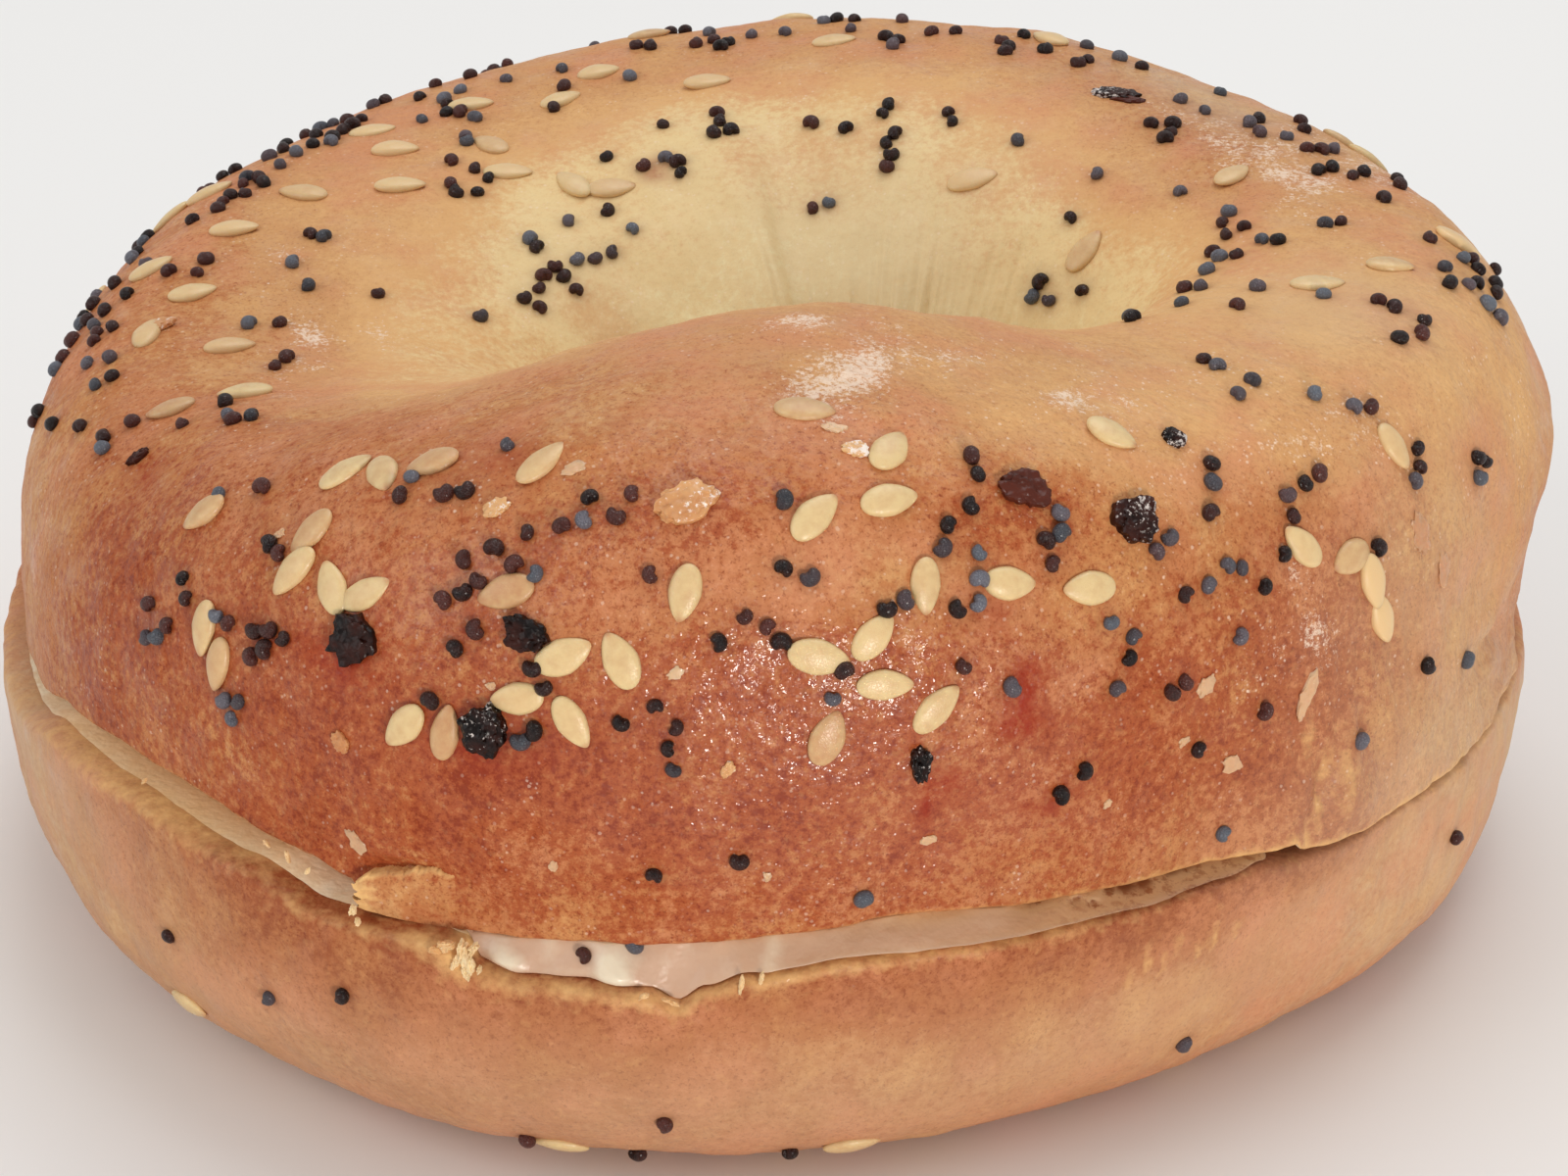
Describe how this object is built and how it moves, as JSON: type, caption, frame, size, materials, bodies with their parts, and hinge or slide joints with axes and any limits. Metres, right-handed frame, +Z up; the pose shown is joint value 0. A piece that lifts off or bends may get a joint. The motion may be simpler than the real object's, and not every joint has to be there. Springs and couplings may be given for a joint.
{
  "type": "filled bagel",
  "caption": "Ring-shaped seeded bread roll, sliced across and spread with cream cheese, resting flat on its underside.",
  "frame": {"origin": "under the middle of the footprint, on the surface that it stands on", "axes": "+Z up, +X to the right and +Y away from the front, where the seeds are thickest"},
  "size_m": [0.096, 0.0964, 0.0451],
  "materials": {
    "bottom_crust": "baked crust, satin, golden brown",
    "spread": "moist, smooth, off-white",
    "top_crust": "baked crust, glossy at the front, chestnut brown to pale gold"
  },
  "bodies": {
    "root": {"bottom_half": "bottom_crust", "cream_cheese": "spread", "top_half": "top_crust"}
  },
  "joints": []
}
